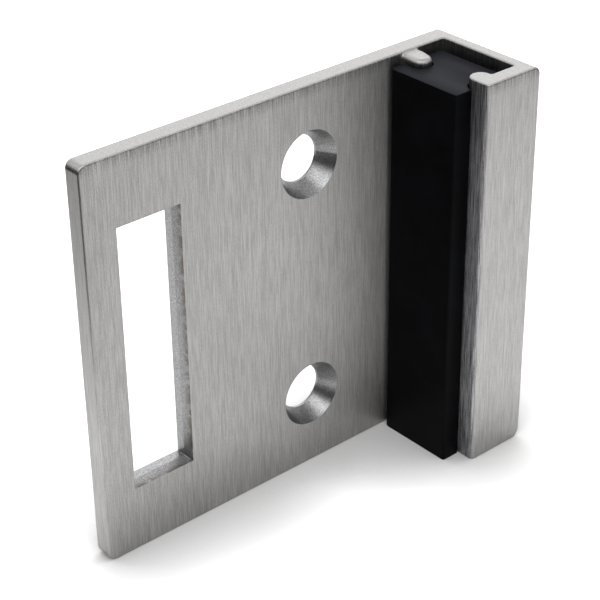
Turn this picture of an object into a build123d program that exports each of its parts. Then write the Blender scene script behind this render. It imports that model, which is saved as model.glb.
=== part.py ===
from build123d import *
import os

# Door strike plate with a keeper channel and a rubber door buffer, in millimetres.
# X runs from the free end of the plate to the channel, and Z is up.
# The back of the plate, which lies on the door frame, is at Y = 0, and its front looks towards -Y.
# Sizes across and up are counted from the bottom corner of the free end. The finished bodies are
# then moved so that the origin is on the back face, midway between the two fixing holes.

# Steel plate
length = 81.4
height = 76.2
plate_t = 3.8
corner_r_top = 1.5
corner_r_bottom = 1.9
edge_r = 0.35
back_edge_r = 0.5

# Channel at the end of the plate: a web turned forward and a flange turned back
channel_depth = 24.2
web_t = 3.1
flange_t = 3.2
flange_reach = 12.8
channel_inner_r = 0.5
flange_edge_r = 0.9

# Rounded lip along the free edge of the flange, flush with the flange's end
lip_r = 2.0
lip_rise = 2.45
lip_root_r = 0.4

# Rounded nib on the front of the plate, opposite the lip, counted from the outside of the web
nib_inset = 11.2
nib_lean = 0.3
nib_rise = 4.9
nib_tip_r = 1.9
nib_base_w = 4.0
nib_shoulder = 1.6
nib_root_r = 0.3
nib_end_r = 0.9
nib_end_drop = 0.4

# Latch slot: straight at the back, flared towards the front
slot_x = 12.65
slot_w = 11.7
slot_h = 49.8
slot_corner_r = 0.15
slot_land_t = 1.9
slot_flare = 0.5

# Countersunk fixing holes, one above the other
hole_x = 46.7
hole_spacing = 46.8
hole_r = 4.35
sink_r = 6.3
sink_depth = 3.3

# Rubber buffer, whose head stands out past the end of the flange
buffer_length = 74.4
buffer_overhang = 4.0
buffer_plate_gap = 0.85
buffer_flange_gap = 0.3
buffer_web_gap = 1.3
groove_gap = 0.25
buffer_front_r = 0.5
buffer_back_r = 0.9
buffer_end_r = 0.2

# Distance, and slant of a direction, below which two places or directions count as the same
near = 0.02

# Places that follow from the sizes above
front_y = -plate_t
flange_front_y = -channel_depth
flange_inner_y = flange_front_y + flange_t
web_inner_x = length - web_t
flange_end_x = length - flange_reach
lip_x = flange_end_x + lip_r
lip_y = flange_inner_y + lip_rise - lip_r
lip_root_x = lip_x + (lip_r**2 - (lip_y - flange_inner_y) ** 2) ** 0.5
nib_x = length - nib_inset
nib_tip_y = front_y - nib_rise + nib_tip_r
buffer_head_x = flange_end_x - buffer_overhang
buffer_tail_x = web_inner_x - buffer_web_gap
buffer_back_y = front_y - buffer_plate_gap
buffer_face_y = flange_inner_y + buffer_flange_gap


def box_between(x0, x1, y0, y1):
    """Rectangle of the section between two places along X and two along Y."""
    return Pos((x0 + x1) / 2, (y0 + y1) / 2) * Rectangle(x1 - x0, y1 - y0)


def nib_outline(gap=0.0):
    """Nib with straight shoulders and a round tip, larger all round by a gap."""
    tip = Pos(nib_x - nib_lean, nib_tip_y) * Circle(nib_tip_r + gap)
    half = nib_base_w / 2 + gap
    base = box_between(nib_x - half, nib_x + half, front_y - nib_shoulder, front_y / 2)
    return make_hull(tip.edges() + base.edges())


def lip_outline(gap=0.0):
    """Round lip standing up from the flange's inner face, larger all round by a gap."""
    return Pos(lip_x, lip_y) * Circle(lip_r + gap)


def metal_section():
    """Plate, web, flange and lip in one outline, seen from above."""
    plate = box_between(0, length, front_y, 0)
    web = box_between(web_inner_x, length, flange_front_y, 0)
    flange = box_between(flange_end_x, length, flange_front_y, flange_inner_y)
    flange_end = box_between(flange_end_x, lip_x, flange_front_y, lip_y)
    return plate + web + flange + flange_end + lip_outline()


def upright_edges(body, x, y):
    """Upright edges of a body that stand at one place of the section."""
    edges = body.edges().filter_by(Axis.Z)
    return [e for e in edges if abs(e.center().X - x) + abs(e.center().Y - y) < near]


def front_outline():
    """Outline seen from the front, with its four rounded corners, carried through the whole depth."""
    block = extrude(Plane.XZ * (Pos(length / 2, height / 2) * Rectangle(length, height)), channel_depth)
    block = fillet(block.edges().filter_by(Axis.Y).group_by(Axis.Z)[-1], corner_r_top)
    return fillet(block.edges().filter_by(Axis.Y).group_by(Axis.Z)[0], corner_r_bottom)


def corner_seams():
    """Places, across and up, where a rounded corner runs smoothly into a straight side."""
    places = []
    for end_z, radius, inward in ((0, corner_r_bottom, 1), (height, corner_r_top, -1)):
        places += [(radius, end_z), (length - radius, end_z)]
        places += [(0, end_z + inward * radius), (length, end_z + inward * radius)]
    return places


def is_rim(edge):
    """True for an edge round the ends or the outer sides, and not for a smooth seam."""
    place = edge.center()
    direction = edge.tangent_at(0.5)
    if abs(direction.Z) > 1 - near:
        return place.X < near or place.X > length - near
    if abs(direction.Y) > 1 - near:
        return all(abs(place.X - x) + abs(place.Z - z) > near for x, z in corner_seams())
    return True


def metal_body():
    """The section drawn out to its full height, with its corners and edges rounded."""
    body = extrude(metal_section(), height)
    uprights = [
        (web_inner_x, front_y, channel_inner_r),
        (web_inner_x, flange_inner_y, channel_inner_r),
        (lip_root_x, flange_inner_y, lip_root_r),
        (flange_end_x, flange_front_y, flange_edge_r),
    ]
    for x, y, radius in uprights:
        body = fillet(upright_edges(body, x, y), radius)
    body = body & front_outline()
    body = fillet(body.faces().sort_by(Axis.Y)[-1].edges(), back_edge_r)
    rim = [e for e in body.edges() if e.center().Y < -back_edge_r - near and is_rim(e)]
    return fillet(rim, edge_r)


def nib():
    """Nib that stops a little short of the plate's ends, with its own ends rounded over."""
    body = Pos(0, 0, nib_end_drop) * extrude(nib_outline(), height - 2 * nib_end_drop)
    return fillet([e for e in body.edges() if abs(e.tangent_at(0.5).Z) < near], nib_end_r)


def with_nib(body):
    """Body with the nib joined to its front, and the corners at the nib's root rounded."""
    body += nib()
    roots = upright_edges(body, nib_x - nib_base_w / 2, front_y)
    roots += upright_edges(body, nib_x + nib_base_w / 2, front_y)
    return fillet(roots, nib_root_r)


def slot_cutter():
    """Latch slot: a straight land at the back, then four walls that flare to the front face."""
    flared_w = slot_w + 2 * slot_flare
    flared_h = slot_h + 2 * slot_flare
    middle = Pos(slot_x, height / 2)
    inner = Plane.XZ.offset(slot_land_t) * middle * RectangleRounded(slot_w, slot_h, slot_corner_r)
    outer = Plane.XZ.offset(plate_t) * middle * RectangleRounded(flared_w, flared_h, slot_corner_r)
    land = extrude(Plane.XZ * middle * RectangleRounded(slot_w, slot_h, slot_corner_r), slot_land_t)
    return land + loft([inner, outer])


def hole_cutter(z):
    """Fixing hole: a straight bore with a cone sunk in from the front."""
    face = Plane.XZ.offset(plate_t) * Pos(hole_x, z)
    to_back = (Align.CENTER, Align.CENTER, Align.MAX)
    bore = face * Cylinder(hole_r, plate_t, align=to_back)
    return bore + face * Cone(hole_r, sink_r, sink_depth, align=to_back)


def strike_plate():
    """Plate and channel in one piece of metal, with its slot and holes cut through."""
    body = with_nib(metal_body()) - slot_cutter()
    for side in (-1, 1):
        body -= hole_cutter(height / 2 + side * hole_spacing / 2)
    return body


def rubber_buffer():
    """Rubber strip with a groove down each side, in which the nib and the lip sit."""
    body = extrude(box_between(buffer_head_x, buffer_tail_x, buffer_face_y, buffer_back_y), buffer_length)
    body = fillet(upright_edges(body, buffer_head_x, buffer_face_y), buffer_front_r)
    body = fillet(upright_edges(body, buffer_head_x, buffer_back_y), buffer_back_r)
    body = fillet([e for e in body.edges() if abs(e.tangent_at(0.5).Z) < near], buffer_end_r)
    for outline in (nib_outline(groove_gap), lip_outline(groove_gap)):
        body -= extrude(outline, buffer_length)
    return body


def from_holes(body):
    """Body moved so that the point midway between the fixing holes is the origin."""
    return Pos(-hole_x, 0, -height / 2) * body


os.makedirs("parts", exist_ok=True)
export_step(from_holes(strike_plate()), "parts/strike_plate.step")
export_step(from_holes(rubber_buffer()), "parts/rubber_buffer.step")
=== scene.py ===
import math

import bpy
from mathutils import Matrix, Vector


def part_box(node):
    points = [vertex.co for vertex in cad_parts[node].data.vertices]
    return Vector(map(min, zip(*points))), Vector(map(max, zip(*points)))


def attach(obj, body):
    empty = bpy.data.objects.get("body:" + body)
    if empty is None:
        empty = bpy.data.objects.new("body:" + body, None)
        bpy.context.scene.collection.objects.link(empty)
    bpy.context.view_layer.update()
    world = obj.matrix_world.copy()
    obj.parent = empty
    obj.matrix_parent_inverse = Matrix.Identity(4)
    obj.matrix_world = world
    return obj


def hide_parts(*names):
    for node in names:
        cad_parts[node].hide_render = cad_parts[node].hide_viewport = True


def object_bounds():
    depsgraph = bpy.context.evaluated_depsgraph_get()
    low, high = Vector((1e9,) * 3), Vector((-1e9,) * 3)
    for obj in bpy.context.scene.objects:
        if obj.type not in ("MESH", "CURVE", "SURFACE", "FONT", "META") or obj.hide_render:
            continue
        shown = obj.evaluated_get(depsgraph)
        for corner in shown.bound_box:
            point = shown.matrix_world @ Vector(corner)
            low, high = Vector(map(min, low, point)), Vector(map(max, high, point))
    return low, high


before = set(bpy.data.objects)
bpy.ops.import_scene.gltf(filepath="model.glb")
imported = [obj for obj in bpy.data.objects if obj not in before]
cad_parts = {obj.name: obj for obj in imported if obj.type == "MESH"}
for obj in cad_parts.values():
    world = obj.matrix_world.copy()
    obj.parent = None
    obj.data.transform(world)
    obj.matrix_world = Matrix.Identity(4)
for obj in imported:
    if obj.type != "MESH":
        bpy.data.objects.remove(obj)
cad_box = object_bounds()
mm = 0.001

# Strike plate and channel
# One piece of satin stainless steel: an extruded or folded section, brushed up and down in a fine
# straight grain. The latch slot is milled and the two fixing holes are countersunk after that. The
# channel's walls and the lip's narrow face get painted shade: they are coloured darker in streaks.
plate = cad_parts["strike_plate"]
plate_low, plate_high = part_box("strike_plate")

# The milled faces and those with painted shade lie in these boxes, each given by its middle and its
# half size.
past_end = 100 * mm
slot_middle = (plate_low.x + 12.65 * mm, 0.0, 0.0)
slot_half = (6.38 * mm, past_end, 25.43 * mm)
channel_middle = (25.0 * mm, -12.45 * mm, 0.0)
channel_half = (7.0 * mm, 8.6 * mm, past_end)
lip_middle = (23.9 * mm, -22.0 * mm, 0.0)
lip_half = (4.0 * mm, 4.0 * mm, past_end)
hole_spacing = 46.8 * mm
sink_reach = 6.33 * mm
plate_front_y = -3.8 * mm

steel_light = "B5B4B2"
steel_dark = "949392"
cut_light = "B6B6B5"
cut_dark = "68686C"
# Painted shade on the lip's face and the channel's walls: the two ends of its streaks
shaded_streak_light = "B4B4B6"
shaded_streak_dark = "3A3A3E"
# Colour of the darker streaks just under the top edge of the front faces
top_edge_dark = "666668"
grime_colour = "6A6259"

# The grain is drawn coarser than the real scratches, which are too fine to show.
grain_width = 0.13 * mm
grain_length = 5.0 * mm
grain_depth = 0.012 * mm
band_width = 0.4 * mm
band_length = 12.0 * mm
band_share = 0.25
grit_share = 0.35
cut_grit = 0.16 * mm
cut_depth = 0.012 * mm
# How much of the painted shade the channel's walls get
channel_shade_share = 0.45
top_edge_reach = 2.4 * mm
grime_reach = 1.2 * mm
grime_size = 1.4 * mm
brushed_roughness = 0.46
cut_roughness = 0.37
brush_spread = 0.8


def linear(hex_colour):
    """A colour written as sRGB hex, as the linear RGBA that a shader takes."""
    shares = [int(hex_colour[i:i + 2], 16) / 255 for i in (0, 2, 4)]
    return [s / 12.92 if s <= 0.04045 else ((s + 0.055) / 1.055) ** 2.4 for s in shares] + [1.0]


def add(tree, kind, inputs=None, **settings):
    """Adds one node with its settings. An input takes a value, an output, or a node's first one."""
    node = tree.nodes.new("ShaderNode" + kind)
    for name, value in settings.items():
        setattr(node, name, value)
    for socket, value in (inputs or {}).items():
        if isinstance(value, bpy.types.Node):
            value = value.outputs[0]
        if isinstance(value, bpy.types.NodeSocket):
            tree.links.new(value, node.inputs[socket])
        else:
            node.inputs[socket].default_value = value
    return node


def new_material(name):
    """A material with no nodes yet, and its node tree."""
    material = bpy.data.materials.new(name)
    material.use_nodes = True
    material.node_tree.nodes.clear()
    return material, material.node_tree


def streaks(tree, place, width, length, detail, roughness=0.5):
    """Noise drawn out upwards into streaks of a real width and length."""
    drawn_out = add(tree, "Mapping", {
        "Vector": place, "Scale": (1 / width, 1 / width, 1 / length)})
    return add(tree, "TexNoise", {
        "Vector": drawn_out, "Scale": 1.0, "Detail": detail, "Roughness": roughness})


def within(tree, place, middle, half):
    """1 inside a box given by its middle and its half size, and 0 outside it."""
    away = add(tree, "VectorMath", {0: place, 1: middle}, operation="SUBTRACT")
    away = add(tree, "VectorMath", {0: away}, operation="ABSOLUTE")
    away = add(tree, "VectorMath", {0: away, 1: half}, operation="DIVIDE")
    away = add(tree, "SeparateXYZ", {0: away})
    most = add(tree, "Math", {0: away.outputs[0], 1: away.outputs[1]}, operation="MAXIMUM")
    most = add(tree, "Math", {0: most, 1: away.outputs[2]}, operation="MAXIMUM")
    return add(tree, "Math", {0: most, 1: 1.0}, operation="LESS_THAN")


def cut_mask(tree, place):
    """1 in the slot and in the sinks, and 0 elsewhere. The lower sink is folded onto the upper."""
    in_slot = within(tree, place, slot_middle, slot_half)
    parts = add(tree, "SeparateXYZ", {0: place})
    height = add(tree, "Math", {0: parts.outputs[2]}, operation="ABSOLUTE")
    folded = add(tree, "CombineXYZ", {0: parts.outputs[0], 2: height})
    from_hole = add(tree, "VectorMath", {
        0: folded, 1: (0, 0, hole_spacing / 2)}, operation="DISTANCE")
    in_sink = add(tree, "Math", {
        0: from_hole.outputs["Value"], 1: sink_reach}, operation="LESS_THAN")
    return add(tree, "Math", {0: in_slot, 1: in_sink}, operation="MAXIMUM")


def painted_shade_mask(tree, place):
    """Where shade is painted: 1 on the lip's face towards the plate's free end, and a share on the
    channel's walls.
    """
    facing = add(tree, "SeparateXYZ", {0: add(tree, "NewGeometry").outputs["Normal"]})
    upright = add(tree, "MapRange", {"Value": facing.outputs[2], "From Min": 0.8, "From Max": 0.4})
    in_channel = within(tree, place, channel_middle, channel_half)
    wall = add(tree, "Math", {0: upright, 1: in_channel}, operation="MULTIPLY")
    wall = add(tree, "Math", {0: wall, 1: channel_shade_share}, operation="MULTIPLY")
    sideways = add(tree, "MapRange", {
        "Value": facing.outputs[0], "From Min": -0.5, "From Max": -0.85})
    on_lip = within(tree, place, lip_middle, lip_half)
    lip_face = add(tree, "Math", {0: sideways, 1: on_lip}, operation="MULTIPLY")
    return add(tree, "Math", {0: wall, 1: lip_face}, operation="MAXIMUM")


def top_edge_streak_mask(tree, place, streak):
    """Darker streaks on the front faces, just under the top edge."""
    facing = add(tree, "SeparateXYZ", {0: add(tree, "NewGeometry").outputs["Normal"]})
    forward = add(tree, "MapRange", {
        "Value": facing.outputs[1], "From Min": -0.7, "From Max": -0.95})
    height = add(tree, "SeparateXYZ", {0: place}).outputs[2]
    near_top = add(tree, "MapRange", {
        "Value": height, "From Min": plate_high.z - top_edge_reach, "From Max": plate_high.z})
    near_top = add(tree, "Math", {0: near_top, 1: forward}, operation="MULTIPLY")
    dark_streak = add(tree, "Math", {0: 1.0, 1: streak}, operation="SUBTRACT")
    return add(tree, "Math", {0: near_top, 1: dark_streak}, operation="MULTIPLY")


def grime_mask(tree, place):
    """Patches just inside the slot's front edge, where the dirt of the cut stays."""
    depth = add(tree, "SeparateXYZ", {0: place}).outputs[1]
    near_front = add(tree, "MapRange", {
        "Value": depth, "From Min": plate_front_y + grime_reach, "From Max": plate_front_y})
    patches = add(tree, "TexNoise", {"Vector": place, "Scale": 1 / grime_size, "Detail": 3.0})
    patches = add(tree, "MapRange", {"Value": patches, "From Min": 0.38, "From Max": 0.58})
    in_slot = within(tree, place, slot_middle, slot_half)
    grime = add(tree, "Math", {0: near_front, 1: patches}, operation="MULTIPLY")
    return add(tree, "Math", {0: grime, 1: in_slot}, operation="MULTIPLY")


def satin_stainless_steel():
    """Brushed stainless steel: a metal whose upright scratches spread each reflection sideways."""
    material, tree = new_material("satin_stainless_steel")
    place = add(tree, "TexCoord").outputs["Object"]
    cut = cut_mask(tree, place)

    # The scratches of the brush, in short and long streaks with a little grit between them
    grain = streaks(tree, place, grain_width, grain_length, 2.0, 0.6)
    band = streaks(tree, place, band_width, band_length, 2.0)
    grit = add(tree, "TexNoise", {
        "Vector": place, "Scale": 1 / cut_grit, "Detail": 2.0, "Roughness": 0.7})
    streak = add(tree, "Mix", {0: band_share, 2: grain, 3: band}, data_type="FLOAT")
    streak = add(tree, "Mix", {0: grit_share, 2: streak, 3: grit}, data_type="FLOAT")
    streak = add(tree, "MapRange", {"Value": streak, "From Min": 0.40, "From Max": 0.60})

    # Brushed faces, then the speckled cut faces and the streaky painted shade laid over them
    brushed = add(tree, "MixRGB", {
        "Fac": streak, "Color1": linear(steel_dark), "Color2": linear(steel_light)})
    # Darker streaks on the front faces, just under the top edge
    brushed = add(tree, "MixRGB", {
        "Fac": top_edge_streak_mask(tree, place, streak), "Color1": brushed, "Color2": linear(top_edge_dark)})
    speck = add(tree, "MapRange", {"Value": grit, "From Min": 0.35, "From Max": 0.65})
    milled = add(tree, "MixRGB", {
        "Fac": speck, "Color1": linear(cut_dark), "Color2": linear(cut_light)})
    milled = add(tree, "MixRGB", {
        "Fac": grime_mask(tree, place), "Color1": milled, "Color2": linear(grime_colour)})
    # Painted shade: the lip's face and the channel's walls are coloured darker, in streaks
    shaded = add(tree, "MixRGB", {
        "Fac": streak, "Color1": linear(shaded_streak_dark), "Color2": linear(shaded_streak_light)})
    colour = add(tree, "MixRGB", {"Fac": cut, "Color1": brushed, "Color2": milled})
    colour = add(tree, "MixRGB", {
        "Fac": painted_shade_mask(tree, place), "Color1": colour, "Color2": shaded})

    # Depth of the marks, and the direction across them, in which the shine is spread. The turned
    # and milled faces have marks in all directions, so there the direction varies with the grit.
    level = add(tree, "Mix", {0: cut, 2: grain, 3: grit}, data_type="FLOAT")
    depth = add(tree, "Mix", {0: cut, 2: grain_depth, 3: cut_depth}, data_type="FLOAT")
    bump = add(tree, "Bump", {"Height": level, "Strength": 1.0, "Distance": depth})
    roughness = add(tree, "Mix", {
        0: cut, 2: brushed_roughness, 3: cut_roughness}, data_type="FLOAT")
    facing = add(tree, "NewGeometry").outputs["True Normal"]
    across = add(tree, "VectorMath", {0: (0.0, 0.0, 1.0), 1: facing}, operation="CROSS_PRODUCT")
    across = add(tree, "VectorMath", {0: across, 1: (0.0, 0.001, 0.0)}, operation="ADD")
    tool_marks = add(tree, "VectorMath", {
        0: grit.outputs["Color"], 1: (-0.5, -0.15, -0.5)}, operation="ADD")
    tangent = add(tree, "Mix", {0: cut, 4: across, 5: tool_marks}, data_type="VECTOR")
    steel = add(tree, "BsdfPrincipled", {
        "Base Color": colour, "Metallic": 1.0, "Roughness": roughness,
        "Anisotropic": brush_spread, "Normal": bump, "Tangent": tangent.outputs[1]})
    add(tree, "OutputMaterial", {"Surface": steel})
    return material


plate.data.materials.clear()
plate.data.materials.append(satin_stainless_steel())

# Rubber buffer
# A strip of black rubber with a groove down each side, slid into the channel from its end and
# held there by the steel nib and lip. It is extruded and cut off with a knife.
buffer_low, buffer_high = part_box("rubber_buffer")
lip_place = (23.9 * mm, -20.55 * mm)
nib_place = (23.2 * mm, -6.8 * mm)
lip_groove_radius = 2.25 * mm
nib_groove_radius = 2.15 * mm
nib_neck_x = nib_place[0] + 0.28 * mm
nib_neck_half = 2.27 * mm
past_cut = 2.0 * mm
past_both_ends = 1.1
rod_sides = 48
same_place = 0.01 * mm
front_corner_radius = 0.5 * mm
back_corner_radius = 0.9 * mm
edge_softness = 0.22 * mm

rubber_black = "020203"
rubber_worn = "07080C"
# Painted sheen on the faces that look up
rubber_top_sheen = "17181F"
draw_width = 0.5 * mm
draw_length = 30.0 * mm
draw_depth = 0.010 * mm
rubber_grit = 0.35 * mm
rubber_grit_depth = 0.008 * mm
wear_size = 9.0 * mm
rubber_roughness = 0.55
rubber_specular = 0.05


def box_mesh(name, low, high):
    """A box between two corners, with its size applied to the mesh."""
    bpy.ops.object.select_all(action="DESELECT")
    bpy.ops.mesh.primitive_cube_add(size=1.0, location=(low + high) / 2)
    box = bpy.context.object
    box.name = name
    box.scale = high - low
    bpy.ops.object.transform_apply(location=True, rotation=False, scale=True)
    return box


def round_upright_edge(box, x, y, radius):
    """Rounds the one upright edge of a box that stands at x and y."""
    bpy.ops.object.mode_set(mode="EDIT")
    bpy.ops.mesh.select_all(action="DESELECT")
    bpy.ops.object.mode_set(mode="OBJECT")
    for edge in box.data.edges:
        ends = [box.data.vertices[v].co for v in edge.vertices]
        edge.select = all(abs(e.x - x) + abs(e.y - y) < same_place for e in ends)
    bpy.ops.object.mode_set(mode="EDIT")
    bpy.ops.mesh.select_mode(type="EDGE")
    bpy.ops.mesh.bevel(offset=radius, segments=6)
    bpy.ops.object.mode_set(mode="OBJECT")


def cut_away(body, cutter):
    """Takes one body away from another and removes the cutter."""
    bpy.context.view_layer.objects.active = body
    cut = body.modifiers.new("cut", "BOOLEAN")
    cut.object = cutter
    cut.solver = "EXACT"
    bpy.ops.object.modifier_apply(modifier=cut.name)
    bpy.data.objects.remove(cutter)


def groove_cutter(place, radius):
    """An upright rod, longer than the strip, that cuts a round groove."""
    bpy.ops.object.select_all(action="DESELECT")
    length = (buffer_high.z - buffer_low.z) * past_both_ends
    middle_z = (buffer_low.z + buffer_high.z) / 2
    bpy.ops.mesh.primitive_cylinder_add(
        vertices=rod_sides, radius=radius, depth=length, location=(place[0], place[1], middle_z))
    bpy.ops.object.transform_apply(location=True, rotation=False, scale=False)
    return bpy.context.object


def extruded_rubber():
    """Black rubber: almost no colour, faint draw lines, a dull shine, and a painted greyer sheen on
    the faces that look up.
    """
    material, tree = new_material("extruded_black_rubber")
    place = add(tree, "TexCoord").outputs["Object"]
    lines = streaks(tree, place, draw_width, draw_length, 3.0)
    grit = add(tree, "TexNoise", {"Vector": place, "Scale": 1 / rubber_grit, "Detail": 3.0})
    wear = add(tree, "TexNoise", {
        "Vector": place, "Scale": 1 / wear_size, "Detail": 4.0, "Roughness": 0.6})
    wear = add(tree, "MapRange", {"Value": wear, "From Min": 0.4, "From Max": 0.7})
    colour = add(tree, "MixRGB", {
        "Fac": wear, "Color1": linear(rubber_black), "Color2": linear(rubber_worn)})
    # Painted sheen: faces that look up are coloured greyer, as light from above shows them
    upward = add(tree, "SeparateXYZ", {0: add(tree, "NewGeometry").outputs["Normal"]}).outputs[2]
    lit_top = add(tree, "MapRange", {"Value": upward, "From Min": 0.6, "From Max": 0.9})
    colour = add(tree, "MixRGB", {
        "Fac": lit_top, "Color1": colour, "Color2": linear(rubber_top_sheen)})
    bump = add(tree, "Bump", {"Height": lines, "Strength": 1.0, "Distance": draw_depth})
    bump = add(tree, "Bump", {
        "Height": grit, "Strength": 1.0, "Distance": rubber_grit_depth, "Normal": bump})
    rubber = add(tree, "BsdfPrincipled", {
        "Base Color": colour, "Roughness": rubber_roughness,
        "Specular IOR Level": rubber_specular, "Normal": bump})
    add(tree, "OutputMaterial", {"Surface": rubber})
    return material


strip = box_mesh("rubber_strip", buffer_low, buffer_high)
round_upright_edge(strip, buffer_low.x, buffer_low.y, front_corner_radius)
round_upright_edge(strip, buffer_low.x, buffer_high.y, back_corner_radius)
cut_away(strip, groove_cutter(lip_place, lip_groove_radius))
cut_away(strip, groove_cutter(nib_place, nib_groove_radius))
neck_low = Vector((nib_neck_x - nib_neck_half, nib_place[1], buffer_low.z - past_cut))
neck_high = Vector((
    nib_neck_x + nib_neck_half, buffer_high.y + past_cut, buffer_high.z + past_cut))
cut_away(strip, box_mesh("neck", neck_low, neck_high))
soft = strip.modifiers.new("soft_edges", "BEVEL")
soft.width = edge_softness
soft.segments = 3
soft.limit_method = "ANGLE"
soft.angle_limit = math.radians(40)
bpy.context.view_layer.objects.active = strip
bpy.ops.object.modifier_apply(modifier=soft.name)
bpy.ops.object.select_all(action="DESELECT")
strip.select_set(True)
bpy.ops.object.shade_smooth_by_angle(angle=math.radians(35))
strip.data.materials.clear()
strip.data.materials.append(extruded_rubber())
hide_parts("rubber_buffer")
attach(strip, "root")

# Floor
# A plain pale sheet under the object, which shows as white and keeps the object's shadow. Its lift
# fades where the object stands close over it, as the light of a white room does.
floor_size = 8.0
floor_grey = "D8D8D8"
floor_lift = 0.92
contact_reach = 22.0 * mm
contact_power = 4.0


def seen_rays(tree):
    """1 for rays that show the surface, straight or in a reflection, and 0 for those that light."""
    rays = add(tree, "LightPath")
    seen = add(tree, "Math", {
        0: rays.outputs["Is Camera Ray"], 1: rays.outputs["Is Glossy Ray"]}, operation="MAXIMUM")
    return add(tree, "Math", {0: seen, 1: rays.outputs["Is Transmission Ray"]}, operation="MAXIMUM")


def matt_white_paper():
    """White paper: fully matt, with a glow of its own that takes it up to the white of the room."""
    material, tree = new_material("matt_white_paper")
    openness = add(tree, "AmbientOcclusion", {"Distance": contact_reach}, samples=8)
    openness = add(tree, "Math", {
        0: openness.outputs["AO"], 1: contact_power}, operation="POWER")
    lift = add(tree, "Math", {0: seen_rays(tree), 1: openness}, operation="MULTIPLY")
    lift = add(tree, "Math", {0: lift, 1: floor_lift}, operation="MULTIPLY")
    matt = add(tree, "BsdfDiffuse", {"Color": linear(floor_grey)})
    glow = add(tree, "Emission", {"Strength": lift})
    both = add(tree, "AddShader", {0: matt, 1: glow})
    add(tree, "OutputMaterial", {"Surface": both})
    return material


bpy.ops.object.select_all(action="DESELECT")
bpy.ops.mesh.primitive_plane_add(size=floor_size, location=(0, 0, cad_box[0].z))
floor = bpy.context.object
floor.name = "floor"
floor.data.materials.append(matt_white_paper())

# Black cards
# Three dark boards that only the steel's reflections see, as in a photographer's tent with open
# sides. Each stands on the floor and faces the object.
card_black = "020202"
black, tree = new_material("black_card")
matt = add(tree, "BsdfDiffuse", {"Color": linear(card_black)})
add(tree, "OutputMaterial", {"Surface": matt})
for name, direction, distance, width, top in (
    ("card_front_left", (-0.91, -0.42), 110 * mm, 200 * mm, 64 * mm),
    ("card_back_left", (-0.83, 0.56), 215 * mm, 240 * mm, 95 * mm),
    ("card_front_right", (0.65, -0.76), 250 * mm, 300 * mm, 60 * mm),
):
    towards = Vector((*direction, 0.0)).normalized()
    bottom = cad_box[0].z
    bpy.ops.object.select_all(action="DESELECT")
    bpy.ops.mesh.primitive_plane_add(size=1.0, location=(0, 0, 0))
    card = bpy.context.object
    card.name = name
    card.scale = (width, top - bottom, 1.0)
    card.rotation_euler = (-towards).to_track_quat("Z", "Y").to_euler()
    card.location = towards * distance + Vector((0, 0, (top + bottom) / 2))
    card.data.materials.append(black)
    card.visible_camera = False
    card.visible_diffuse = False
    card.visible_shadow = False

# Light
# A white room, which shows at full white and lights at half, and two soft boxes: one behind the
# object on the right and one over the camera.
room_light = 0.5
room_white = 1.0
world = bpy.data.worlds.new("studio")
bpy.context.scene.world = world
world.use_nodes = True
tree = world.node_tree
tree.nodes.clear()
level = add(tree, "MapRange", {
    "Value": seen_rays(tree), "To Min": room_light, "To Max": room_white})
room = add(tree, "Background", {"Color": linear("FFFFFF"), "Strength": level})
add(tree, "OutputWorld", {"Surface": room})

for name, direction, distance, size, radiance in (
    ("softbox_back", (0.56, 0.657, 0.505), 1.0, (1.1, 0.9), 1.3),
    ("softbox_front", (-0.45, -0.55, 0.85), 1.0, (0.8, 0.8), 2.2),
):
    lamp = bpy.data.lights.new(name, "AREA")
    lamp.shape = "RECTANGLE"
    lamp.size, lamp.size_y = size
    lamp.energy = math.pi * size[0] * size[1] * radiance
    softbox = bpy.data.objects.new(name, lamp)
    bpy.context.scene.collection.objects.link(softbox)
    away = Vector(direction).normalized()
    softbox.location = away * distance
    softbox.rotation_euler = away.to_track_quat("Z", "Y").to_euler()
    softbox.visible_camera = False

# Camera
# It stands in front of the plate, to the left and above, and looks down over the slot towards the
# channel, at the photograph's own angle and distance.
camera_place = Vector((-177.63, -209.40, 155.45)) * mm
camera_azimuth = math.radians(-40.419)
camera_elevation = math.radians(30.318)
camera_roll = math.radians(-0.767)
camera = bpy.data.objects.new("camera", bpy.data.cameras.new("camera"))
bpy.context.scene.collection.objects.link(camera)
camera.data.sensor_width = 36.0
camera.data.lens = 105.64
camera.data.clip_start = 0.01
turn = Matrix.Rotation(camera_azimuth, 4, "Z")
turn @= Matrix.Rotation(math.pi / 2 - camera_elevation, 4, "X")
turn @= Matrix.Rotation(camera_roll, 4, "Z")
camera.matrix_world = Matrix.Translation(camera_place) @ turn
bpy.context.scene.camera = camera
bpy.context.scene.view_settings.view_transform = "Standard"
